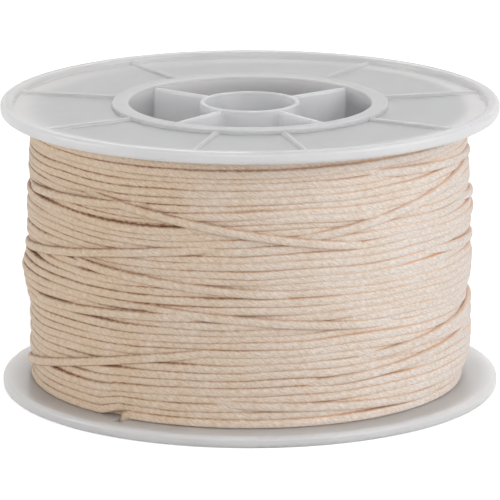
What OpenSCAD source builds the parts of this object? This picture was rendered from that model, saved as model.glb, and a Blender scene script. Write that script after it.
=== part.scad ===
// Reel of waxed cord: two moulded halves that snap together, and the cord wound on them.
// Millimetres, +Z up, origin at the centre of the lower rim's crest plane.
// Angles are counted from the front (-Y), and positive ones turn towards the right (+X).

/* [Reel] */
// Diameter of both flanges
flange_d = 72; // [60:0.5:100]
// Height from the lower rim's crest to the upper rim's crest
reel_h = 42.2; // [30:0.1:60]

/* [Flanges] */
// Height of the rim round each flange
rim_h = 1.75; // [1.5:0.05:3]
// Width of the rim, measured along a radius
rim_w = 1.9; // [1.4:0.05:3]
// Radius on the rim's edges
rim_round = 0.6; // [0.2:0.05:0.65]
// Thickness of the panel inside the rim
panel_t = 0.8; // [0.6:0.05:1.1]
// Width of a rib at the panel
rib_w = 1.1; // [0.7:0.05:1.6]
// Height of a rib above the panel
rib_h = 0.45; // [0.2:0.05:0.5]
// Angle of the first rib on each side of the front
first_rib = 14; // [10:1:22]
// Angle from one rib to the next
rib_step = 45; // [30:1:50]
// Ribs on each side
ribs_a_side = 4; // [1:1:4]

/* [Hub] */
// Inside diameter of the barrel
barrel_id = 35; // [26:0.5:42]
// Thickness of the barrel's wall
barrel_wall = 1.7; // [1.5:0.05:2.4]
// Thickness of the collar round the barrel's mouth
collar_wall = 2.45; // [1.8:0.05:3.5]
// Height of the collar above the panel
collar_h = 0.6; // [0.3:0.05:0.7]
// Radius on the collar's edges
collar_round = 0.25; // [0.1:0.05:0.28]
// Diameter of the bore for the spindle
bore_d = 12.9; // [8:0.1:16]
// Thickness of the tube round the bore
tube_wall = 0.75; // [0.7:0.05:1.5]
// Thickness of the webs between tube and barrel
web_t = 0.9; // [0.7:0.05:1.5]
// Depth of the webs' edges below the collar's crest
web_drop = 0.2; // [0.1:0.05:1]
// Radius that blends the webs into the tube
root_r = 0.8; // [0.3:0.1:1.5]
// Angle of the first web on each side of the front
first_web = 37.5; // [30:0.5:45]
// Angle from one web to the next
web_step = 90; // [70:1:95]
// Webs on each side
webs_a_side = 2; // [1:1:2]

/* [Snap joint] */
// Height of the lower half's fingers above the parting plane
finger_h = 3; // [2.6:0.1:5]
// Thickness of the fingers
finger_t = 0.75; // [0.6:0.05:0.8]
// Height of the bead that snaps into the upper half
bead_h = 0.2; // [0.1:0.05:0.3]
// Clearance of the fingers in their socket, on the radius
snap_gap = 0.05; // [0.03:0.01:0.1]
// Clearance beside each web that keys the fingers
key_gap = 0.1; // [0.05:0.05:0.2]
// Gap between the two halves' webs and tubes, so that only the barrel seats
relief = 0.1; // [0.05:0.05:0.3]

/* [Cord] */
// Diameter of the cord
cord_d = 1.1; // [0.8:0.05:1.6]
// Distance from the flange's edge to the outside of the winding
winding_margin = 4.2; // [3.6:0.1:10]
// Least space between neighbouring turns of the outer layer
turn_gap = 0.45; // [0.42:0.01:1]
// Most whole turns in the outer layer
most_turns = 23; // [4:1:23]
// Part of a turn that takes the outer layer on from the back to its slot
last_part_turn = 0.6; // [0.4:0.05:0.9]
// Angle of the slot that holds the cord's end
slot_angle = -34; // [-40:1:-28]
// Space that the cord leaves across its slot
slot_play = 0.7; // [0.6:0.05:1]

/* [Hidden] */
$fn = 96;

flange_r = flange_d / 2;
barrel_ir = barrel_id / 2;
barrel_or = barrel_ir + barrel_wall;
bore_r = bore_d / 2;
tube_or = bore_r + tube_wall;
part_z = reel_h / 2;                        // parting plane of the two halves
panel_z = rim_h - panel_t;                  // outer face of the lower panel
collar_z = panel_z - collar_h;              // crest of the lower collar, and of its tube
web_reach = barrel_or - barrel_wall / 4;    // webs end inside the barrel's outer skin
web_side_z = collar_z + web_drop + web_t / 2; // the webs' flat sides start below their round edge

// Fingers of the lower half, and the bead round them
finger_or = barrel_ir + finger_t;
finger_top = part_z + finger_h;
lead_in = 0.3;
bead_z = finger_top - 1;
bead_w = 0.7;
end_gap = 0.2;
joint_root = 2;                             // how far the fingers are rooted below the plane

// Ribs have a round back: one circle through both feet and the crest
rib_r = (rib_w * rib_w / 4 + rib_h * rib_h) / (2 * rib_h);
rib_overlap = rim_w / 4;

// Winding
seat_gap = 0.15;                            // cord to flange
core_gap = 0.1;                             // hidden layers to barrel and flanges
layer_gap = 0.55;                           // hidden layers to the outer layer's middle turn line
cord_r = cord_d / 2;
winding_r = flange_r - winding_margin - cord_r;
core_r = winding_r - cord_r - layer_gap;
bend_r = cord_d;
first_z = reel_h - rim_h - seat_gap - cord_r;
last_z = rim_h + seat_gap + cord_r;
travel = first_z - last_z;
whole_turns = min(most_turns, floor(travel / (cord_d + turn_gap) - last_part_turn));
turns = whole_turns + last_part_turn;
rings_a_turn = 24;
sides = 6;

// Slot that holds the cord's end, and the way that the cord takes into it
slot_w = cord_d + slot_play;
slot_in = flange_r - winding_margin + 0.1;
slot_out = flange_r - rim_w - slot_w / 2 - 0.2;
tail_r = slot_in + 0.2;
tail_end_z = 0.3;                           // the cord's end stays clear of the table
tail_arc = 24;                              // degrees over which the cord moves out to its slot
last_a = -90 + slot_angle;
first_a = last_a + 360 * turns;
bend_steps = 5;

// ---------------------------------------------------------------- shapes shared by the halves

// Section with rounded corners, r along x and z along y
module round_section(r0, r1, z0, z1, round) {
    translate([r0 + round, z0])
        square([r1 - r0 - 2 * round, z1 - z0]);
    translate([r0, z0 + round])
        square([r1 - r0, z1 - z0 - 2 * round]);
    for (x = [r0 + round, r1 - round], y = [z0 + round, z1 - round])
        translate([x, y])
            circle(r = round);
}

// Flange, collar and half of the barrel, lying as the lower half does
module shell_section() {
    round_section(flange_r - rim_w, flange_r, 0, rim_h, rim_round);
    translate([barrel_ir, panel_z])
        square([flange_r - rim_w / 2 - barrel_ir, panel_t]);
    round_section(barrel_ir, barrel_ir + collar_wall, collar_z, rim_h - panel_t / 4, collar_round);
    translate([barrel_ir, panel_z])
        square([barrel_wall, part_z - panel_z]);
}

// Tube with a rounded lip, cut square at the parting plane
module tube_section() {
    lip = tube_wall;
    round_section(bore_r, tube_or, collar_z, collar_z + 2 * lip, tube_wall / 3);
    translate([bore_r, collar_z + lip])
        square([tube_wall, part_z - relief / 2 - collar_z - lip]);
}

module at_side_angles(first, step, count) {
    for (side = [-1, 1], i = [0:count - 1])
        rotate([0, 0, -90 + side * (first + step * i)])
            children();
}

// Web across its thickness, with a round edge at the mouth of the hub
module web_section() {
    translate([0, web_side_z])
        circle(d = web_t);
    translate([-web_t / 2, web_side_z])
        square([web_t, part_z - relief / 2 - web_side_z]);
}

// Fillets between one web and the tube: each circle touches the web's side and the tube
module web_root_section() {
    mid_y = web_t / 2 + root_r;
    mid_x = sqrt(pow(tube_or + root_r, 2) - pow(mid_y, 2));
    inward = (tube_or - tube_wall / 2) / (tube_or + root_r);
    for (side = [-1, 1])
        difference() {
            polygon([
                [inward * mid_x, 0],
                [mid_x, 0],
                [mid_x, side * mid_y],
                [inward * mid_x, side * inward * mid_y]
            ]);
            translate([mid_x, side * mid_y])
                circle(r = root_r);
        }
}

module webs() {
    at_side_angles(first_web, web_step, webs_a_side) {
        translate([tube_or - tube_wall / 2, 0, 0])
            rotate([90, 0, 90])
                linear_extrude(web_reach - tube_or + tube_wall / 2)
                    web_section();
        translate([0, 0, web_side_z])
            linear_extrude(part_z - relief / 2 - web_side_z)
                web_root_section();
    }
}

module rib() {
    length = flange_r - rim_w - barrel_ir - collar_wall + 2 * rib_overlap;
    translate([barrel_ir + collar_wall - rib_overlap, 0, panel_z])
        rotate([90, 0, 90])
            linear_extrude(length)
                intersection() {
                    translate([0, rib_r - rib_h])
                        circle(r = rib_r);
                    translate([-rib_w / 2, -rib_h])
                        square([rib_w, rib_h + panel_t / 2]);
                }
}

module ribs() {
    at_side_angles(first_rib, rib_step, ribs_a_side)
        rib();
}

// ---------------------------------------------------------------- snap joint

// Ring of fingers with a lead-in and a bead, before the keyways divide it
module finger_section() {
    polygon([
        [barrel_ir, part_z - joint_root],
        [barrel_ir, finger_top],
        [finger_or - lead_in, finger_top],
        [finger_or, finger_top - lead_in],
        [finger_or, bead_z + bead_w / 2],
        [finger_or + bead_h, bead_z],
        [finger_or, bead_z - bead_w / 2],
        [finger_or, part_z - joint_root]
    ]);
}

// Room for the fingers in the upper half, with the bead's groove
module socket_section() {
    socket_r = finger_or + snap_gap;
    polygon([
        [barrel_ir - 1, part_z - 1],
        [barrel_ir - 1, finger_top + end_gap],
        [socket_r, finger_top + end_gap],
        [socket_r, bead_z + bead_w / 2 + snap_gap],
        [socket_r + bead_h, bead_z],
        [socket_r, bead_z - bead_w / 2 - snap_gap],
        [socket_r, part_z - 1]
    ]);
}

// The upper half's webs pass between the fingers and keep the halves from turning
module fingers() {
    keyway = web_t + 2 * key_gap;
    difference() {
        rotate_extrude()
            finger_section();
        at_side_angles(first_web, web_step, webs_a_side)
            translate([barrel_ir - 1, -keyway / 2, part_z])
                cube([finger_t + bead_h + 2, keyway, finger_h + 1]);
    }
}

// ---------------------------------------------------------------- the two halves

module slot() {
    rotate([0, 0, -90 + slot_angle])
        translate([0, 0, -1]) {
            for (r = [slot_in, slot_out])
                translate([r, 0, 0])
                    cylinder(d = slot_w, h = rim_h + 2);
            translate([slot_in, -slot_w / 2, 0])
                cube([slot_out - slot_in, slot_w, rim_h + 2]);
        }
}

module lower_half() {
    color([0.83, 0.83, 0.83])
    union() {
        difference() {
            union() {
                rotate_extrude()
                    shell_section();
                ribs();
            }
            slot();
        }
        fingers();
        rotate_extrude()
            tube_section();
        webs();
    }
}

module upper_half() {
    color([0.86, 0.86, 0.87])
    union() {
        difference() {
            translate([0, 0, reel_h])
                mirror([0, 0, 1])
                    union() {
                        rotate_extrude()
                            shell_section();
                        ribs();
                    }
            rotate_extrude()
                socket_section();
        }
        translate([0, 0, reel_h])
            mirror([0, 0, 1])
                union() {
                    rotate_extrude()
                        tube_section();
                    webs();
                }
    }
}

// ---------------------------------------------------------------- cord

// The layers below the outer one, as one plain ring, with a notch where the outer layer starts
module cord_inner_layers() {
    notch_w = cord_d + 0.6;
    notch_r = winding_r - bend_r - cord_d - 0.05;
    color([0.80, 0.68, 0.55])
    difference() {
        translate([0, 0, rim_h + core_gap])
            cylinder(r = core_r, h = reel_h - 2 * rim_h - 2 * core_gap);
        cylinder(r = barrel_or + core_gap, h = reel_h);
        rotate([0, 0, first_a])
            translate([notch_r, -bend_r - notch_w, first_z - notch_w / 2])
                cube([core_r, bend_r + 1.5 * notch_w, reel_h]);
    }
}

function smooth(t) = t <= 0 ? 0 : t >= 1 ? 1 : t * t * (3 - 2 * t);
function polar(r, a, z) = [r * cos(a), r * sin(a), z];
function unit(v) = v / norm(v);

// Way of the outer layer: out of the hidden layers, round and down, then into the slot
bend_a = bend_r / winding_r * 180 / PI;
helix_top_a = first_a - bend_a;
helix_low_a = last_a + bend_r / tail_r * 180 / PI;
helix_steps = ceil((helix_top_a - helix_low_a) / 360 * rings_a_turn);

function helix_point(i) =
    let(a = helix_top_a + (helix_low_a - helix_top_a) * i / helix_steps,
        down = (helix_top_a - a) / (helix_top_a - helix_low_a),
        out = smooth(1 - (a - helix_low_a) / tail_arc))
    polar(winding_r + (tail_r - winding_r) * out, a, first_z - travel * down);

start_out = unit(polar(1, first_a, 0));
start_along = polar(1, first_a - 90, 0);
tail_out = polar(1, last_a, 0);
tail_along = polar(1, last_a - 90, 0);

start_points = [
    start_out * (winding_r - bend_r - cord_d) + [0, 0, first_z],
    for (i = [0:bend_steps - 1])
        let(a = 90 * i / bend_steps)
        start_out * (winding_r - bend_r + bend_r * sin(a))
            + start_along * bend_r * (1 - cos(a)) + [0, 0, first_z]
];
tail_points = [
    for (i = [1:bend_steps])
        let(a = 90 * i / bend_steps)
        tail_out * tail_r - tail_along * bend_r * (1 - sin(a))
            + [0, 0, last_z - bend_r * (1 - cos(a))],
    tail_out * tail_r + [0, 0, tail_end_z]
];
cord_points = [
    each start_points,
    for (i = [0:helix_steps])
        helix_point(i),
    each tail_points
];
tail_first = len(start_points) + helix_steps + 1;

function heading(i) =
    i == 0 ? unit(cord_points[1] - cord_points[0])
    : i == len(cord_points) - 1 ? unit(cord_points[i] - cord_points[i - 1])
    : unit(cord_points[i + 1] - cord_points[i - 1]);

// Six corners round point i: the tail turns about its radius, all else about the vertical
function ring(i) =
    let(t = heading(i),
        u = i >= tail_first ? -tail_out : unit(cross(t, [0, 0, 1])),
        v = cross(u, t))
    [for (k = [0:sides - 1])
        cord_points[i] + cord_r * (u * cos(360 * (k + 0.5) / sides) + v * sin(360 * (k + 0.5) / sides))];

// Least space from the cord to itself, between points at least half a turn apart
function least_gap() =
    min([for (i = [0:len(cord_points) - rings_a_turn / 2 - 1])
        min([for (j = [i + rings_a_turn / 2:len(cord_points) - 1])
            norm(cord_points[i] - cord_points[j])])]) - cord_d;

module cord_outer_layer() {
    count = len(cord_points);
    corners = [for (i = [0:count - 1]) each ring(i)];
    walls = [
        for (i = [0:count - 2], k = [0:sides - 1])
            let(a = i * sides + k,
                b = i * sides + (k + 1) % sides)
            each [[a, b, b + sides], [a, b + sides, a + sides]]
    ];
    last = (count - 1) * sides;
    caps = [
        for (k = [1:sides - 2])
            each [[0, k + 1, k], [last, last + k, last + k + 1]]
    ];
    echo(turns_of_the_outer_layer = turns, least_gap_to_itself_mm = least_gap());
    color([0.88, 0.79, 0.68])
        polyhedron(points = corners, faces = [each walls, each caps]);
}

upper_half();
lower_half();
cord_inner_layers();
cord_outer_layer();
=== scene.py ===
import math

import bpy
import numpy as np
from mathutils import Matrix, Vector


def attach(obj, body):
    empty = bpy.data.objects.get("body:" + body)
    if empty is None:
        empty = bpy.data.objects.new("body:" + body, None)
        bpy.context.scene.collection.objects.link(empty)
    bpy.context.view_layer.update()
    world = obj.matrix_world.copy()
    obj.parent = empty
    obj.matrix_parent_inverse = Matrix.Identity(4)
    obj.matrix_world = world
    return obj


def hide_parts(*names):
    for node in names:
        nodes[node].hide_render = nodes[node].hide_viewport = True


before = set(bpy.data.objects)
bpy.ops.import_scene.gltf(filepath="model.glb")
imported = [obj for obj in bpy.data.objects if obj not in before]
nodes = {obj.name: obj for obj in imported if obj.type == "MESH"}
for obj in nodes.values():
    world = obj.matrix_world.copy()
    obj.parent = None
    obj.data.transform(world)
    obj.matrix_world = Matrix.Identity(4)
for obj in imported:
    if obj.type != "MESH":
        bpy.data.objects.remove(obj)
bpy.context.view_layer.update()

mm = 0.001
print("frame loaded:", ", ".join(sorted(nodes)))


# camera, far off with a long lens so the flanges hardly taper
camera = {
    "away": 720 * mm, "elevation": 13.706, "aimHeight": 19.75 * mm,
    "lens": 356.95, "sensor": 36, "clip": (0.05, 20),
}

tilt = math.radians(camera["elevation"])
cameraData = bpy.data.cameras.new("camera")
cameraData.sensor_width = camera["sensor"]
cameraData.lens = camera["lens"]
cameraData.clip_start, cameraData.clip_end = camera["clip"]
cameraObject = bpy.data.objects.new("camera", cameraData)
bpy.context.scene.collection.objects.link(cameraObject)
cameraHeight = camera["aimHeight"] + camera["away"] * math.sin(tilt)
cameraObject.location = (0, -camera["away"] * math.cos(tilt), cameraHeight)
cameraObject.rotation_euler = (math.radians(90) - tilt, 0, 0)
bpy.context.scene.camera = cameraObject
print("camera placed")


# small helpers for node trees
def newMaterial(name):
    material = bpy.data.materials.new(name)
    material.use_nodes = True
    tree = material.node_tree
    shader = tree.nodes["Principled BSDF"]
    return material, tree, shader


def plug(tree, socket, value):
    if hasattr(value, "links"):
        tree.links.new(value, socket)
    else:
        socket.default_value = value


def calc(tree, operation, a, b=0.0, clamp=False):
    node = tree.nodes.new("ShaderNodeMath")
    node.operation = operation
    node.use_clamp = clamp
    plug(tree, node.inputs[0], a)
    plug(tree, node.inputs[1], b)
    return node.outputs[0]


def add(tree, a, b):
    return calc(tree, "ADD", a, b)


def subtract(tree, a, b):
    return calc(tree, "SUBTRACT", a, b)


def multiply(tree, a, b):
    return calc(tree, "MULTIPLY", a, b)


def mixColour(tree, amount, first, second, blend="MIX"):
    node = tree.nodes.new("ShaderNodeMix")
    node.data_type = "RGBA"
    node.blend_type = blend
    plug(tree, node.inputs["Factor"], amount)
    plug(tree, node.inputs["A"], first)
    plug(tree, node.inputs["B"], second)
    return node.outputs["Result"]


def noise(tree, vector, scale, detail=2.0):
    node = tree.nodes.new("ShaderNodeTexNoise")
    tree.links.new(vector, node.inputs["Vector"])
    node.inputs["Scale"].default_value = scale
    node.inputs["Detail"].default_value = detail
    return node.outputs["Fac"]


def spread(tree, value, low, high, newLow=0.0, newHigh=1.0):
    node = tree.nodes.new("ShaderNodeMapRange")
    for socket, number in zip(node.inputs[:5], (value, low, high, newLow, newHigh)):
        plug(tree, socket, number)
    return node.outputs[0]


def within(tree, value, span):
    # 1 between the two inner numbers of the span, fading to 0 at the outer two
    return multiply(tree, spread(tree, value, span[0], span[1]), spread(tree, value, span[3], span[2]))


def bump(tree, height, distance, strength, normal=None):
    node = tree.nodes.new("ShaderNodeBump")
    tree.links.new(height, node.inputs["Height"])
    node.inputs["Distance"].default_value = distance
    node.inputs["Strength"].default_value = strength
    if normal is not None:
        tree.links.new(normal, node.inputs["Normal"])
    return node.outputs["Normal"]


def splitPlace(tree, vector):
    node = tree.nodes.new("ShaderNodeSeparateXYZ")
    tree.links.new(vector, node.inputs[0])
    return node.outputs


def joinPlace(tree, x, y):
    node = tree.nodes.new("ShaderNodeCombineXYZ")
    tree.links.new(x, node.inputs[0])
    tree.links.new(y, node.inputs[1])
    return node.outputs[0]


# moulded reel: a pale grey plastic with a faint moulding haze, and painted light and shade: the lower half
# is a lighter copy, and some places are lighter or darker
# a tint's span goes from none to full, and back again where it has four numbers
# it is in metres from the axis or, for raisedHeight, from the parting plane
reelPlastic = {
    "upperColour": (0.71, 0.715, 0.738, 1), "lowerColour": (0.83, 0.833, 0.85, 1),
    "shade": (0.967, 0.967, 0.968, 1), "hazeScale": 90, "hazeDetail": 3, "hazeSpread": (0.35, 0.65),
    "partingHeight": 0.0211,
    "webs": (1.24, 1.24, 1.25, 1), "websSpan": (0.0068, 0.0071, 0.0170, 0.0173),
    "hubWallShaded": (0.95, 0.925, 0.905, 1), "hubWallSpan": (0.0173, 0.0174, 0.0176, 0.0177),
    "raisedShaded": (0.84, 0.825, 0.80, 1), "raisedHeight": (0.0202, 0.0205), "raisedReach": (0.0356, 0.0352),
    "roughness": 0.33, "smoother": 0.05, "rougher": 0.06,
    "flowScale": 225, "flowDetail": 4, "flowSpread": (0.3, 0.7),
    "grainScale": 2600, "grainDepth": 0.000012, "grainStrength": 0.5,
    "glow": 1.0, "glowRadius": (1, 1, 1), "glowReach": 0.0055,
}


def makePlastic(name, colour):
    material, tree, shader = newMaterial(name)
    place = tree.nodes.new("ShaderNodeTexCoord").outputs["Object"]
    haze = noise(tree, place, reelPlastic["hazeScale"], reelPlastic["hazeDetail"])
    haze = spread(tree, haze, *reelPlastic["hazeSpread"])
    shaded = mixColour(tree, 1.0, colour, reelPlastic["shade"], "MULTIPLY")
    colour = mixColour(tree, haze, shaded, colour)

    # painted light and shade: the webs are a little lighter, and the hub's wall and the raised edges darker
    # and warmer, for how the light falls on them
    x, y, z = splitPlace(tree, place)
    reach = calc(tree, "SQRT", add(tree, calc(tree, "POWER", x, 2.0), calc(tree, "POWER", y, 2.0)))
    fromParting = calc(tree, "ABSOLUTE", subtract(tree, z, reelPlastic["partingHeight"]))
    onWebs = within(tree, reach, reelPlastic["websSpan"])
    onWall = within(tree, reach, reelPlastic["hubWallSpan"])
    onRaised = multiply(tree, spread(tree, fromParting, *reelPlastic["raisedHeight"]),
                        spread(tree, reach, *reelPlastic["raisedReach"]))
    for share, tint in ((onWebs, "webs"), (onWall, "hubWallShaded"), (onRaised, "raisedShaded")):
        tinted = mixColour(tree, 1.0, colour, reelPlastic[tint], "MULTIPLY")
        colour = mixColour(tree, share, colour, tinted)
    tree.links.new(colour, shader.inputs["Base Color"])

    flow = noise(tree, place, reelPlastic["flowScale"], reelPlastic["flowDetail"])
    smoothest = reelPlastic["roughness"] - reelPlastic["smoother"]
    roughest = reelPlastic["roughness"] + reelPlastic["rougher"]
    gloss = spread(tree, flow, *reelPlastic["flowSpread"], smoothest, roughest)
    tree.links.new(gloss, shader.inputs["Roughness"])
    grain = noise(tree, place, reelPlastic["grainScale"])
    grain = bump(tree, grain, reelPlastic["grainDepth"], reelPlastic["grainStrength"])
    tree.links.new(grain, shader.inputs["Normal"])
    shader.inputs["Subsurface Weight"].default_value = reelPlastic["glow"]
    shader.inputs["Subsurface Radius"].default_value = reelPlastic["glowRadius"]
    shader.inputs["Subsurface Scale"].default_value = reelPlastic["glowReach"]
    return material


# painted light: both halves are one plastic, and the lower half is given a lighter colour for the brighter
# light that falls on it
upperPlastic = makePlastic("reelPlasticUpper", reelPlastic["upperColour"])
lowerPlastic = makePlastic("reelPlasticLower", reelPlastic["lowerColour"])
for name, plastic in (("upper_half", upperPlastic), ("lower_half", lowerPlastic)):
    for holder in nodes[name].material_slots:
        holder.material = plastic
print("reel halves finished")


# the winding, in millimetres and degrees; angles start at the front and grow towards +X
# layerDrop, layerRise, sinkIn, pressed and standsOut are in cords, names with Over are in turns,
# and names with Parts divide a turn: 14 is a fourteenth of it
winding = {
    "seed": 12, "turns": 35, "slotAngle": -34.0, "topAngle": 185.0, "stepsPerTurn": 300, "sides": 16,
    "cord": 1.1, "wide": 1.29, "flat": 0.24, "square": 2.7, "frontCorners": 0.35,
    "floor": 1.77, "ceiling": 40.43, "radius": 31.3, "layerDrop": 0.75, "layerRise": 0.6,
    "uneven": 0.13, "unevenAlong": 30, "ripple": 0.05, "rippleAlong": 8, "evenOver": 0.15,
    "steepRise": 0.975, "gentleRise": 0.9, "easedOver": 6,
    "narrowestGap": 0.82, "widestGap": 1.22, "settlings": 60, "settleShares": 3,
    "wander": 0.05, "wanderParts": 14, "fineWander": 0.5, "fineParts": 60, "roundedParts": 45,
    "sinkIn": 0.88, "pressed": 0.95, "give": 1.3, "standsOut": 0.1,
    "innerSteps": 160, "innerSides": 10, "innerExtraTurn": 0.4, "innerWanderParts": 12,
    "fainterBelow": 3.4, "fainterStainAndShade": 0.3, "hiddenStainAndShade": 0.95,
}
# openings between turns: angle, height, how far the turns part in cords, how long in degrees
openings = [
    (-70, 19.6, 0.14, 7), (62, 34.2, 0.15, 7), (-40, 7.4, 0.12, 7), (-30, 33.5, 0.10, 9),
    (-8, 35.3, 0.09, 10), (20, 9.0, 0.09, 9), (48, 17.0, 0.08, 8), (-55, 28.0, 0.10, 8),
    (110, 20.0, 0.14, 9), (150, 30.0, 0.12, 10), (-130, 14.0, 0.14, 10), (-160, 26.0, 0.12, 9),
    (-100, 34.0, 0.14, 8),
]
# stretches that ride over the layer: from angle, from height, to angle, to height
stretches = [
    (-118, 1.8, 2, 13.1), (-110, 20.4, 4, 27.9), (0, 28.2, 96, 35.4), (-58, 33.9, 42, 26.6),
    (-40, 18.6, 52, 15.2), (18, 10.6, 112, 14.2), (-95, 30.6, -18, 33.0), (40, 24.6, 130, 21.0),
    (-20, 5.4, 70, 3.2), (-85, 15.4, 0, 17.8), (60, 30.2, 150, 25.6), (20, 37.4, 110, 34.6),
    (120, 8.0, 205, 15.0), (150, 31.0, 235, 25.0), (170, 19.0, 262, 22.6), (128, 36.0, 226, 38.0),
    (200, 12.0, 285, 7.6), (185, 5.0, 270, 3.0), (-62, 23.4, 22, 20.6), (4, 7.6, 88, 10.4),
]
# where the pile of turns stands out or in: angle, height, how far, over how many degrees and mm
swells = [
    (-88, 17.8, 1.25, 30, 3.4), (-92, 26.6, 0.5, 28, 4.2), (-90, 6.0, 0.15, 25, 3.0),
    (90, 36.6, -0.6, 28, 3.2), (92, 26.5, 0.5, 24, 1.7), (90, 19.4, 0.45, 24, 2.3),
    (90, 15.2, -0.35, 24, 1.7), (92, 7.4, 0.45, 26, 2.8), (180, 12.0, 0.35, 24, 3.0),
    (160, 28.0, -0.3, 26, 3.0), (-150, 33.0, 0.35, 26, 3.0), (94, 2.3, -1.1, 36, 2.5),
]
# how turns give way, in cords; pushLead and pushGrowth, before a stretch and into it, are in degrees
parting = {
    "openEdge": 0.25, "openReach": 6, "pushEdge": 0.3, "pushReach": 3.5, "flangeRoom": 3,
    "ridePush": 0.08, "divePush": 0.19, "pushLead": 7, "pushGrowth": 11,
    "pressIn": 0.55, "pressReach": 0.8,
}
# how a stretch rides: diveArc and lapBack in degrees, sitsOn, bedded and depth in cords
riding = {
    "diveArc": 24, "lapBack": 60, "straight": 0.4, "moreSteps": 1.5, "sitsOn": 0.84,
    "roundedParts": 26, "bedded": 0.12, "depth": 1.0, "stainAndShade": 0.8, "meets": 0.5,
}

cord = winding["cord"]
lowest = winding["floor"] + winding["wide"] / 2
highest = winding["ceiling"] - winding["wide"] / 2
farOff = -1000.0  # a height that no turn can touch


def bell(reach):
    # soft bump, cut off at four reaches to each side
    knots = np.arange(-4 * reach, 4 * reach + 1)
    return np.exp(-0.5 * (knots / reach) ** 2)


def smoothNoise(count, reach, generator):
    # soft random curve with about one unit of spread, reach in samples
    weights = bell(reach)
    raw = generator.standard_normal(count + len(weights) - 1)
    curve = np.convolve(raw, weights, mode="valid")
    return curve / math.sqrt(np.sum(weights ** 2))


def blur(values, reach):
    weights = bell(reach)
    weights /= weights.sum()
    edge = len(weights) // 2
    padded = np.concatenate([np.full(edge, values[0]), values, np.full(edge, values[-1])])
    return np.convolve(padded, weights, mode="valid")


def ease(t):
    t = np.clip(t, 0, 1)
    return t * t * (3 - 2 * t)


def riseAfter(share, start):
    return ease((share - start) / (1 - start))


def layHeights(count, steps, generator):
    # each turn lies about one cord above the turn before it, between the two flanges
    turns = count / steps
    pitch = (highest - lowest) / (turns - 1)
    step = np.ones(count + 1)
    for amount, reach in (("uneven", "unevenAlong"), ("ripple", "rippleAlong")):
        step += winding[amount] * smoothNoise(count + 1, int(winding[reach] / 360 * steps), generator)
    index = np.arange(count + 1)
    even = winding["evenOver"] * steps
    hold = ease((index - steps) / even) * ease((count - index) / even)
    step = 1 + (step - 1) * np.where(index > steps, hold, 0)

    # the first turn keeps to the flange until it nearly meets its start, and the next ones climb more gently
    height = np.zeros(count + 1)
    share = index[:steps + 1] / steps
    height[:steps + 1] = pitch * riseAfter(share, winding["steepRise"])
    gentle = pitch * riseAfter(share, winding["gentleRise"]) - height[:steps + 1]
    for number, start in enumerate(range(steps, count + 1, steps)):
        stop = min(start + steps, count + 1)
        height[start:stop] = height[start - steps:stop - steps] + pitch * step[start:stop]
        if number < winding["easedOver"]:
            height[start:stop] += gentle[:stop - start] / winding["easedOver"]

    # what the last turn misses of the upper flange is shared out over all turns
    lastTurn = height[-steps - 1:]
    wanted = (highest - lowest) - pitch * (1 - ease((index[-steps - 1:] - index[-steps - 1]) / steps))
    missing = (wanted - lastTurn)[(index - (count - steps)) % steps]
    height += missing * index / count
    return lowest + height


def stretchHeight(stretch, share):
    # runs nearly along the turns at both ends and crosses them in between
    share = np.clip(share, 0, 1)
    way = riding["straight"] * share + (1 - riding["straight"]) * ease(share)
    return np.clip(stretch[1] + (stretch[3] - stretch[1]) * way, lowest, highest)


def pastStart(stretch, angle):
    # degrees from the stretch's start, and the stretch's length in degrees
    past = (angle - stretch[0] + riding["lapBack"]) % 360 - riding["lapBack"]
    return past, stretch[2] - stretch[0]


def partTurns(height, angle):
    # turns give way at the openings, and to each stretch that crosses or dives between them
    moved = height.copy()
    for openAngle, openHeight, push, length in openings:
        past = (angle - openAngle + 180) % 360 - 180
        away = height - openHeight
        fade = np.exp(-np.abs(away) / (parting["openReach"] * cord) - (past / length) ** 2)
        moved += push * cord * np.tanh(away / (parting["openEdge"] * cord)) * fade
    for stretch in stretches:
        past, length = pastStart(stretch, angle)
        fromEnd = np.minimum(past, length - past)
        onTop = ease(fromEnd / riding["diveArc"])
        push = parting["divePush"] + (parting["ridePush"] - parting["divePush"]) * onTop
        push = push * ease((fromEnd + parting["pushLead"]) / parting["pushGrowth"])
        away = moved - stretchHeight(stretch, past / length)
        fade = np.exp(-np.abs(away) / (parting["pushReach"] * cord))
        moved += push * cord * np.tanh(away / (parting["pushEdge"] * cord)) * fade
    room = parting["flangeRoom"] * cord
    free = np.minimum(ease((height - lowest) / room), ease((highest - height) / room))
    return height + (moved - height) * free


def settleGaps(height, steps):
    # turns too far apart draw their neighbours along, and turns too close push them away
    height = height.copy()
    for settling in range(winding["settlings"]):
        gap = height[steps:] - height[:-steps]
        allowed = np.clip(gap, winding["narrowestGap"], winding["widestGap"])
        excess = (gap - allowed) / winding["settleShares"]
        move = np.zeros(len(height))
        move[:-steps] += excess
        move[steps:] -= excess
        move[:steps] = 0
        move[-steps:] = 0
        height += move
    return height


def pressedIn(height, angle):
    # share by which each turn gives way inwards under the stretches that ride on it
    share = np.zeros(len(height))
    for stretch in stretches:
        past, length = pastStart(stretch, angle)
        above = ease(np.minimum(past, length - past) / riding["diveArc"])
        away = (height - stretchHeight(stretch, past / length)) / (parting["pressReach"] * cord)
        share = np.maximum(share, above * np.exp(-away ** 2))
    return share


def swellAt(angle, height):
    # how far the pile below stands out or in at a place
    total = np.zeros(len(height))
    for middle, level, amount, arc, breadth in swells:
        past = (angle - middle + 180) % 360 - 180
        total += amount * np.exp(-(past / arc) ** 2 - ((height - level) / breadth) ** 2)
    return total


def support(height, radius, othersHeight, othersRadius, reach):
    # how far out the turns below hold a turn up
    lift = reach ** 2 - (height[:, None] - othersHeight) ** 2
    held = np.where(lift > 0, othersRadius + np.sqrt(np.maximum(lift, 0)), 0)
    return np.maximum(radius, held.max(1))


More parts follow.
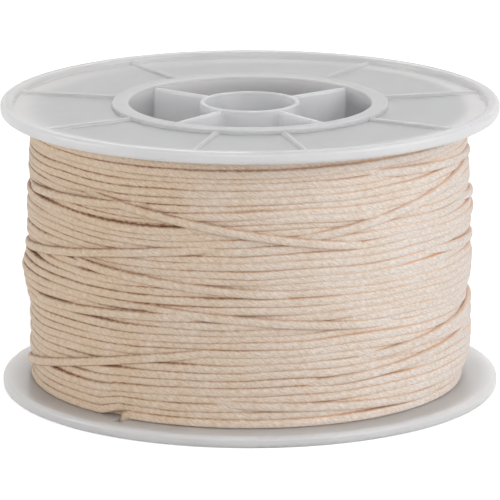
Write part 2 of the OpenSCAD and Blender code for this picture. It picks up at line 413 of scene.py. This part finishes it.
def tableOf(height, radius, steps):
    # heights and radii of all turns at each step of the circle, padded with far-off values
    turns = math.ceil(len(height) / steps)
    heights = np.full(turns * steps, farOff)
    radii = np.zeros(turns * steps)
    heights[:len(height)] = height
    radii[:len(radius)] = radius
    return heights.reshape(turns, steps).T, radii.reshape(turns, steps).T


def lookUp(table, angle, steps, startAngle, direction):
    rows = np.round((angle - startAngle) * direction / 360 * steps).astype(int) % steps
    return table[rows]


generator = np.random.default_rng(winding["seed"])
lowerRadius = winding["radius"] - winding["layerDrop"] * cord

# hidden layer, laid the other way: it falls as the angle grows
innerSteps = winding["innerSteps"]
innerCount = int((winding["turns"] + winding["innerExtraTurn"]) * innerSteps)
innerHeight = layHeights(innerCount, innerSteps, generator)
innerAngle = winding["topAngle"] - np.arange(innerCount + 1) / innerSteps * 360
innerWander = smoothNoise(innerCount + 1, innerSteps // winding["innerWanderParts"], generator)
innerRadius = lowerRadius + swellAt(innerAngle, innerHeight) + winding["wander"] * innerWander
innerHeights, innerRadii = tableOf(innerHeight, innerRadius, innerSteps)

# outer layer, from the slot upwards
steps = winding["stepsPerTurn"]
span = winding["topAngle"] - winding["slotAngle"]
count = int((winding["turns"] + (span % 360) / 360) * steps)
angle = winding["slotAngle"] + np.arange(count + 1) / steps * 360
height = settleGaps(partTurns(layHeights(count, steps, generator), angle), steps)
heldHeights = lookUp(innerHeights, angle, innerSteps, innerAngle[0], -1)
heldRadii = lookUp(innerRadii, angle, innerSteps, innerAngle[0], -1)
radius = lowerRadius + winding["layerRise"] * cord + swellAt(angle, height)
radius = support(height, radius, heldHeights, heldRadii, winding["sinkIn"] * cord)
radius += winding["wander"] * smoothNoise(count + 1, steps // winding["wanderParts"], generator)
fineWander = winding["fineWander"] * winding["wander"]
radius += fineWander * smoothNoise(count + 1, steps // winding["fineParts"], generator)
radius = blur(radius, steps // winding["roundedParts"])

# a turn that crowds the one before it slips over it, unless that one already stands out
for start in range(steps, count + 1, steps):
    stop = min(start + steps, count + 1)
    gap = height[start:stop] - height[start - steps:stop - steps]
    lift = winding["give"] * np.maximum(winding["pressed"] * cord - gap, 0)
    before = radius[start - steps:stop - steps]
    here = radius[start:stop]
    crowded = (lift > 0) & (here > before - lift + winding["standsOut"] * cord)
    radius[start:stop] = np.where(crowded, np.maximum(here, before + lift), here)
radius -= parting["pressIn"] * cord * pressedIn(height, angle)
radius = blur(radius, steps // winding["fineParts"])
outerHeights, outerRadii = tableOf(height, radius, steps)
print("winding laid: outer turns %.1f, radius %.2f to %.2f mm" % (count / steps, radius.min(), radius.max()))

# seams: how strong the wax stain and painted shade are above and below each turn, stronger where a turn
# stands out or in, and where the turn meets its neighbour
seam = {
    "strength": 0.84, "slow": 0.4, "slowParts": 9, "quick": 0.25, "quickParts": 75, "shade": 0.8,
    "atFlange": 0.7, "openGap": 2, "width": 0.15, "nearest": 0.2, "furthest": 0.93,
}

strength = seam["strength"] + seam["slow"] * smoothNoise(count + 1, steps // seam["slowParts"], generator)
strength += seam["quick"] * smoothNoise(count + 1, steps // seam["quickParts"], generator)
gapAbove = np.full(count + 1, seam["openGap"] * cord)
gapAbove[:-steps] = height[steps:] - height[:-steps]
liftAbove = np.zeros(count + 1)
liftAbove[:-steps] = radius[steps:] - radius[:-steps]
stainAndShadeAbove = np.clip(strength + seam["shade"] * np.abs(liftAbove) / cord, 0, 1)
meetAbove = gapAbove / 2 - liftAbove / 2
stainAndShadeBelow = np.full(count + 1, seam["atFlange"])
stainAndShadeBelow[steps:] = stainAndShadeAbove[:-steps]
meetBelow = np.full(count + 1, cord)
meetBelow[steps:] = gapAbove[:-steps] / 2 + liftAbove[:-steps] / 2
seams = np.stack([stainAndShadeAbove, meetAbove, stainAndShadeBelow, meetBelow], axis=1)


def cordProfile(sides):
    # corners of the section: their turn round the cord, and how far they lie across it and out of it
    turn = np.linspace(-math.pi, math.pi, sides, endpoint=False)
    turn = turn - winding["frontCorners"] * np.sin(turn)  # more corners on the side that shows
    across, out = np.sin(turn), np.cos(turn)
    across = np.sign(across) * np.abs(across) ** (2 / winding["square"])
    out = np.sign(out) * np.abs(out) ** (2 / winding["square"])
    return turn, across, out


def stainAndShadeOf(points, turn, across, seams):
    # wax stain and painted shade at each corner, strongest where the cord meets its neighbours
    # the hidden layer, seen only in shade, gets wax stain and painted shade all over, fainter near the floor
    if seams is None:
        low = points[:, 2:3] < winding["fainterBelow"]
        return np.tile(np.where(low, winding["fainterStainAndShade"], winding["hiddenStainAndShade"]), (1, len(turn)))
    half = winding["wide"] / 2
    upper = turn[None, :] < 0
    stainAndShade = np.where(upper, seams[:, 0:1], seams[:, 2:3])
    meet = np.where(upper, seams[:, 1:2], seams[:, 3:4])
    meet = np.clip(meet, seam["nearest"] * half, seam["furthest"] * half)
    side = np.where(np.abs(turn) < math.pi / 2, np.abs(across), 1)[None, :] * half
    return stainAndShade * ease((side - meet) / seam["width"] + 1)


def sweepTube(name, points, outward, sides, seams=None):
    # closed tube along points: its profile faces outward, its map is in mm along and round the cord
    count = len(points)
    half = winding["wide"] / 2
    deep = half * (1 - winding["flat"])
    heading = np.gradient(points, axis=0)
    heading /= np.linalg.norm(heading, axis=1)[:, None]
    outward = outward - heading * np.sum(outward * heading, axis=1)[:, None]
    outward /= np.linalg.norm(outward, axis=1)[:, None]
    upward = np.cross(heading, outward)
    turn, across, out = cordProfile(sides)
    rings = points[:, None, :] + deep * out[None, :, None] * outward[:, None, :]
    rings = rings + half * across[None, :, None] * upward[:, None, :]
    vertices = rings.reshape(-1, 3) * mm

    corner = np.arange(sides)
    firstOfRing = np.arange(count - 1)[:, None] * sides
    a = (firstOfRing + corner).reshape(-1)
    b = (firstOfRing + (corner + 1) % sides).reshape(-1)
    faces = np.stack([a, a + sides, b + sides, b], axis=1).tolist()
    faces.append(list(range(sides)))
    faces.append([(count - 1) * sides + k for k in reversed(range(sides))])
    mesh = bpy.data.meshes.new(name)
    mesh.from_pydata(vertices.tolist(), [], faces)
    mesh.polygons.foreach_set("use_smooth", [True] * len(a) + [False, False])

    run = np.concatenate([[0], np.cumsum(np.linalg.norm(np.diff(points, axis=0), axis=1))])
    profile = np.stack([half * across, deep * out], axis=1)
    sideLengths = np.linalg.norm(np.roll(profile, -1, axis=0) - profile, axis=1)
    girth = np.concatenate([[0], np.cumsum(sideLengths)])
    ringOf = np.arange(count - 1).repeat(sides)
    cornerOf = np.tile(corner, count - 1)
    u = np.stack([run[ringOf], run[ringOf + 1], run[ringOf + 1], run[ringOf]], axis=1)
    v = np.stack([girth[cornerOf], girth[cornerOf], girth[cornerOf + 1], girth[cornerOf + 1]], axis=1)
    uv = np.concatenate([np.stack([u, v], axis=2).reshape(-1, 2), np.zeros((2 * sides, 2))])
    layer = mesh.uv_layers.new(name="alongCord")
    layer.data.foreach_set("uv", uv.astype(np.float32).reshape(-1))
    groove = mesh.attributes.new("groove", "FLOAT", "POINT")
    stainAndShade = stainAndShadeOf(points, turn, across, seams)
    groove.data.foreach_set("value", stainAndShade.astype(np.float32).reshape(-1))
    mesh.validate(clean_customdata=False)
    obj = bpy.data.objects.new(name, mesh)
    bpy.context.scene.collection.objects.link(obj)
    return obj


def around(angle, radius, height):
    turn = np.radians(angle)
    return np.stack([radius * np.sin(turn), -radius * np.cos(turn), height], axis=1)


def outwardAt(angle):
    turn = np.radians(angle)
    return np.stack([np.sin(turn), -np.cos(turn), np.zeros(len(turn))], axis=1)


# waxed cotton cord: a fine round braid, wax gone amber and painted shade in the seams, and painted light
# making it paler towards +X; lengths along it in mm
cordFinish = {
    "warm": (0.82, 0.65, 0.47, 1), "pale": (0.91, 0.86, 0.83, 1), "hollow": (0.80, 0.70, 0.60, 1),
    "toneScale": 160, "toneSwing": 0.65, "toneBase": 0.175, "paintedLightAlongX": 14.0, "toneSpread": (0.17, 0.9),
    "fleckScale": 3200, "fleckSpread": (0.35, 0.75, 0.0, 0.35),
    "braidStep": 0.55, "strandWidth": 0.75, "braidTone": 0.2, "braidDepth": 0.00004, "braidStrength": 0.8,
    "layAngle": 22, "layWidth": 0.2, "layLength": 0.9, "laySpread": (0.3, 0.7), "layTone": 0.85,
    "strandDetail": 1,
    "seamWarm": (0.32, 0.12, 0.035, 1), "seamPale": (0.90, 0.60, 0.40, 1), "stainAndShade": 0.92,
    "toothLength": 0.7, "toothSpread": (0.35, 0.62, 0.35, 1.25),
    "fibreScale": 5200, "fibreDepth": 0.000012, "fibreStrength": 0.5,
    "roughness": 0.55, "specular": 0.35, "sheen": 0.25, "sheenRoughness": 0.4,
}


def makeBraid(tree, along, girth):
    # two sets of slanting ridges that pass over each other in turn
    stepsAlong = calc(tree, "DIVIDE", along, cordFinish["braidStep"])
    stepsRound = calc(tree, "DIVIDE", girth, cordFinish["strandWidth"])
    leftHand = add(tree, stepsAlong, stepsRound)
    rightHand = subtract(tree, stepsAlong, stepsRound)
    ridges = []
    for lay in (leftHand, rightHand):
        middle = subtract(tree, calc(tree, "FRACT", lay), 0.5)
        ridges.append(subtract(tree, 1.0, multiply(tree, multiply(tree, middle, middle), 4.0)))
    cells = add(tree, calc(tree, "FLOOR", leftHand), calc(tree, "FLOOR", rightHand))
    over = calc(tree, "FLOORED_MODULO", cells, 2.0)
    return add(tree, multiply(tree, ridges[0], over), multiply(tree, ridges[1], subtract(tree, 1.0, over)))


def makeStrands(tree, along, girth):
    # strands lie slantwise across the cord
    lay = math.radians(cordFinish["layAngle"])
    width, length = cordFinish["layWidth"], cordFinish["layLength"]
    acrossLay = subtract(tree, multiply(tree, girth, math.cos(lay) / width),
                         multiply(tree, along, math.sin(lay) / width))
    alongLay = add(tree, multiply(tree, along, math.cos(lay) / length),
                   multiply(tree, girth, math.sin(lay) / length))
    strands = noise(tree, joinPlace(tree, acrossLay, alongLay), 1.0, cordFinish["strandDetail"])
    return spread(tree, strands, *cordFinish["laySpread"])


def makeCord():
    material, tree, shader = newMaterial("waxedCord")
    cordMap = tree.nodes.new("ShaderNodeUVMap")
    cordMap.uv_map = "alongCord"
    along, girth = splitPlace(tree, cordMap.outputs[0])[:2]
    place = tree.nodes.new("ShaderNodeTexCoord").outputs["Object"]
    braid = makeBraid(tree, along, girth)
    strands = makeStrands(tree, along, girth)

    # painted light: the cord is paler towards +X, where more light falls, over a random tone
    tone = noise(tree, place, cordFinish["toneScale"])
    tone = add(tree, multiply(tree, tone, cordFinish["toneSwing"]), cordFinish["toneBase"])
    tone = add(tree, tone, multiply(tree, splitPlace(tree, place)[0], cordFinish["paintedLightAlongX"]))
    tone = spread(tree, tone, *cordFinish["toneSpread"])
    colour = mixColour(tree, tone, cordFinish["warm"], cordFinish["pale"])
    fleck = spread(tree, noise(tree, place, cordFinish["fleckScale"]), *cordFinish["fleckSpread"])
    colour = mixColour(tree, fleck, colour, cordFinish["pale"])
    # painted shade: the braid's hollows and the gaps between strands are darker
    hollow = multiply(tree, subtract(tree, 1.0, braid), cordFinish["braidTone"])
    hollow = add(tree, hollow, multiply(tree, subtract(tree, 1.0, strands), cordFinish["layTone"]))
    darker = mixColour(tree, 1.0, colour, cordFinish["hollow"], "MULTIPLY")
    colour = mixColour(tree, hollow, colour, darker)

    # the seams' wax stain and painted shade, dark and warm or pale with the tone; its edge is toothed by the
    # strands
    groove = tree.nodes.new("ShaderNodeAttribute")
    groove.attribute_name = "groove"
    stainAndShadeColour = mixColour(tree, tone, cordFinish["seamWarm"], cordFinish["seamPale"])
    toothPlace = joinPlace(tree, calc(tree, "DIVIDE", along, cordFinish["toothLength"]), girth)
    teeth = noise(tree, toothPlace, 1.0, cordFinish["strandDetail"])
    teeth = spread(tree, teeth, *cordFinish["toothSpread"])
    stainAndShade = multiply(tree, groove.outputs["Fac"], teeth)
    stainAndShade = calc(tree, "MULTIPLY", stainAndShade, cordFinish["stainAndShade"], clamp=True)
    colour = mixColour(tree, stainAndShade, colour, stainAndShadeColour)
    tree.links.new(colour, shader.inputs["Base Color"])

    surface = bump(tree, add(tree, braid, strands), cordFinish["braidDepth"], cordFinish["braidStrength"])
    fibre = noise(tree, place, cordFinish["fibreScale"])
    surface = bump(tree, fibre, cordFinish["fibreDepth"], cordFinish["fibreStrength"], surface)
    tree.links.new(surface, shader.inputs["Normal"])
    shader.inputs["Roughness"].default_value = cordFinish["roughness"]
    shader.inputs["Specular IOR Level"].default_value = cordFinish["specular"]
    shader.inputs["Sheen Weight"].default_value = cordFinish["sheen"]
    shader.inputs["Sheen Roughness"].default_value = cordFinish["sheenRoughness"]
    return material


waxedCord = makeCord()


def finishCord(obj, node):
    obj.data.materials.append(waxedCord)
    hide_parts(node)
    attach(obj, "root")


# the cord's end moves out to its slot and turns down through the lower panel
tail = {
    "radius": 31.58, "bend": 1.1, "endHeight": 0.3, "arc": 14.0, "steps": 14, "downSteps": 4,
    "sinkOver": 0.08, "cutAngle": 180,
}

radius += (tail["radius"] - radius) * ease(1 - (angle - winding["slotAngle"]) / tail["arc"])
firstStep = int(math.degrees(tail["bend"] / tail["radius"]) / 360 * steps) + 1
slotTurn = math.radians(winding["slotAngle"])
slotOut = np.array([math.sin(slotTurn), -math.cos(slotTurn), 0])
slotAlong = np.array([math.cos(slotTurn), math.sin(slotTurn), 0])
bendTurn = np.linspace(0, math.pi / 2, tail["steps"])[:-1]
bendPoints = slotOut * tail["radius"] + slotAlong * tail["bend"] * (1 - np.cos(bendTurn))[:, None]
bendPoints[:, 2] = height[firstStep] - tail["bend"] * (1 - np.sin(bendTurn))
downPoints = slotOut * tail["radius"] + np.zeros((tail["downSteps"] - 1, 1))
downPoints[:, 2] = np.linspace(tail["endHeight"], bendPoints[0, 2], tail["downSteps"])[:-1]
tailPoints = np.concatenate([downPoints, bendPoints])
outerPoints = np.concatenate([tailPoints, around(angle, radius, height)[firstStep:]])
outerOut = np.concatenate([np.tile(slotOut, (len(tailPoints), 1)), outwardAt(angle)[firstStep:]])
outerSeams = np.concatenate([np.tile(seams[firstStep], (len(tailPoints), 1)), seams[firstStep:]])

# at the top the outer layer runs down into the layer below it, at the back
sink = ease((len(outerPoints) - 1 - np.arange(len(outerPoints))) / (tail["sinkOver"] * steps))
outerPoints[:, :2] *= (1 - (1 - sink) * winding["layerDrop"] * cord / winding["radius"])[:, None]

# the layer is one line in two meshes, which meet at the back about halfway up
cutTurns = (tail["cutAngle"] - winding["slotAngle"]) / 360 + winding["turns"] // 2
cut = len(tailPoints) + int(cutTurns * steps)
lowerTurns = sweepTube("cordLowerTurns", outerPoints[:cut + 1], outerOut[:cut + 1], winding["sides"],
                       outerSeams[:cut + 1])
upperTurns = sweepTube("cordUpperTurns", outerPoints[cut:], outerOut[cut:], winding["sides"],
                       outerSeams[cut:])
finishCord(lowerTurns, "cord_outer_layer")
finishCord(upperTurns, "cord_outer_layer")
print("outer layer made:", len(lowerTurns.data.polygons) + len(upperTurns.data.polygons), "faces")

innerPoints = around(innerAngle, innerRadius, innerHeight)
innerTurns = sweepTube("cordInnerTurns", innerPoints, outwardAt(innerAngle), winding["innerSides"])
finishCord(innerTurns, "cord_inner_layers")
print("hidden layer made:", len(innerTurns.data.polygons), "faces")


def makeStretch(number, stretch, laid):
    # rides on what it crosses and dives between the turns at both ends
    length = stretch[2] - stretch[0]
    here = np.linspace(stretch[0], stretch[2], int(length / 360 * steps * riding["moreSteps"]) + 1)
    past = here - stretch[0]
    z = stretchHeight(stretch, past / length)
    heights = [lookUp(outerHeights, here, steps, winding["slotAngle"], 1)]
    radii = [lookUp(outerRadii, here, steps, winding["slotAngle"], 1)]
    for otherAngles, otherHeights, otherRadii in laid:
        for lap in (-360, 0, 360):
            heights.append(np.interp(here, otherAngles + lap, otherHeights, farOff, farOff)[:, None])
            radii.append(np.interp(here, otherAngles + lap, otherRadii, 0, 0)[:, None])
    r = support(z, np.zeros(len(z)), np.hstack(heights), np.hstack(radii), riding["sitsOn"] * cord)
    r = blur(r, steps // riding["roundedParts"]) - riding["bedded"] * cord
    dive = ease(np.minimum(past, length - past) / riding["diveArc"])
    buried = winding["radius"] - riding["depth"] * cord + swellAt(here, z)
    r = r * dive + buried * (1 - dive)
    laid.append((here, z, r))
    # wax stain and painted shade along both sides of the stretch, where it meets the turns
    oneSide = [riding["stainAndShade"], riding["meets"] * winding["wide"]]
    sideSeams = np.tile(oneSide + oneSide, (len(z), 1))
    points = around(here, r, z)
    tube = sweepTube("cordStretch%d" % number, points, outwardAt(here), winding["sides"], sideSeams)
    finishCord(tube, "cord_outer_layer")


laid = []
for number, stretch in enumerate(stretches, 1):
    makeStretch(number, stretch, laid)
print("crossing stretches made:", len(stretches))


# floor, lamps and background; each lamp has its place, size and power
studio = {
    "floor": (0.9, 0.9, 0.9, 1), "floorSize": 8, "floorRoughness": 0.9, "floorSpecular": 0.1,
    "floorGlow": 0.55, "white": (1, 1, 1, 1), "soft": 0.10, "background": 1.0, "aim": (0, 0, 0.02),
    "lamps": {
        "keyLamp": ((0.875, -0.41, 0.26), 0.9, 5.1),
        "leftLamp": ((-0.975, -0.17, 0.14), 0.5, 3.6),
        "highLamp": ((0.0, -0.75, 0.9), 0.8, 0.9),
        "frontLamp": ((-0.1, -1.3, 0.5), 0.8, 3.8),
        "backLamp": ((0.0, 0.7, 0.8), 0.8, 4.2),
        "rightLamp": ((0.7, -0.4, 0.8), 0.7, 1.55),
    },
}


def whiteLight(tree, kind, strength):
    node = tree.nodes.new(kind)
    node.inputs["Color"].default_value = studio["white"]
    node.inputs["Strength"].default_value = strength
    return node.outputs[0]


def whereSeen(tree, unseen, seen, output):
    # the second shader for what the camera sees, also in a gloss or through a clear piece
    rays = tree.nodes.new("ShaderNodeLightPath").outputs
    share = calc(tree, "MAXIMUM", rays["Is Camera Ray"], rays["Is Glossy Ray"])
    share = calc(tree, "MAXIMUM", share, rays["Is Transmission Ray"])
    choose = tree.nodes.new("ShaderNodeMixShader")
    for socket, source in zip(choose.inputs, (share, unseen, seen)):
        tree.links.new(source, socket)
    tree.links.new(choose.outputs[0], output.inputs["Surface"])


def makeFloor():
    bpy.ops.object.select_all(action="DESELECT")
    bpy.ops.mesh.primitive_plane_add(size=studio["floorSize"], location=(0, 0, 0))
    floor = bpy.context.active_object
    floor.name = "floor"
    material, tree, shader = newMaterial("paperFloor")
    shader.inputs["Base Color"].default_value = studio["floor"]
    shader.inputs["Roughness"].default_value = studio["floorRoughness"]
    shader.inputs["Specular IOR Level"].default_value = studio["floorSpecular"]
    both = tree.nodes.new("ShaderNodeAddShader")
    tree.links.new(shader.outputs[0], both.inputs[0])
    tree.links.new(whiteLight(tree, "ShaderNodeEmission", studio["floorGlow"]), both.inputs[1])
    whereSeen(tree, shader.outputs[0], both.outputs[0], tree.nodes["Material Output"])
    floor.data.materials.append(material)


def addLamp(name, place, size, power):
    data = bpy.data.lights.new(name, "AREA")
    data.shape = "DISK"
    data.size = size
    data.energy = power
    lamp = bpy.data.objects.new(name, data)
    bpy.context.scene.collection.objects.link(lamp)
    lamp.location = place
    aim = Vector(studio["aim"]) - Vector(place)
    lamp.rotation_euler = aim.to_track_quat("-Z", "Y").to_euler()


def makeWorld():
    world = bpy.data.worlds.new("studio")
    bpy.context.scene.world = world
    world.use_nodes = True
    tree = world.node_tree
    tree.nodes.clear()
    soft = whiteLight(tree, "ShaderNodeBackground", studio["soft"])
    background = whiteLight(tree, "ShaderNodeBackground", studio["background"])
    whereSeen(tree, soft, background, tree.nodes.new("ShaderNodeOutputWorld"))


makeFloor()
for name, (place, size, power) in studio["lamps"].items():
    addLamp(name, place, size, power)
makeWorld()
bpy.context.scene.view_settings.view_transform = "Standard"
print("floor and lamps set")
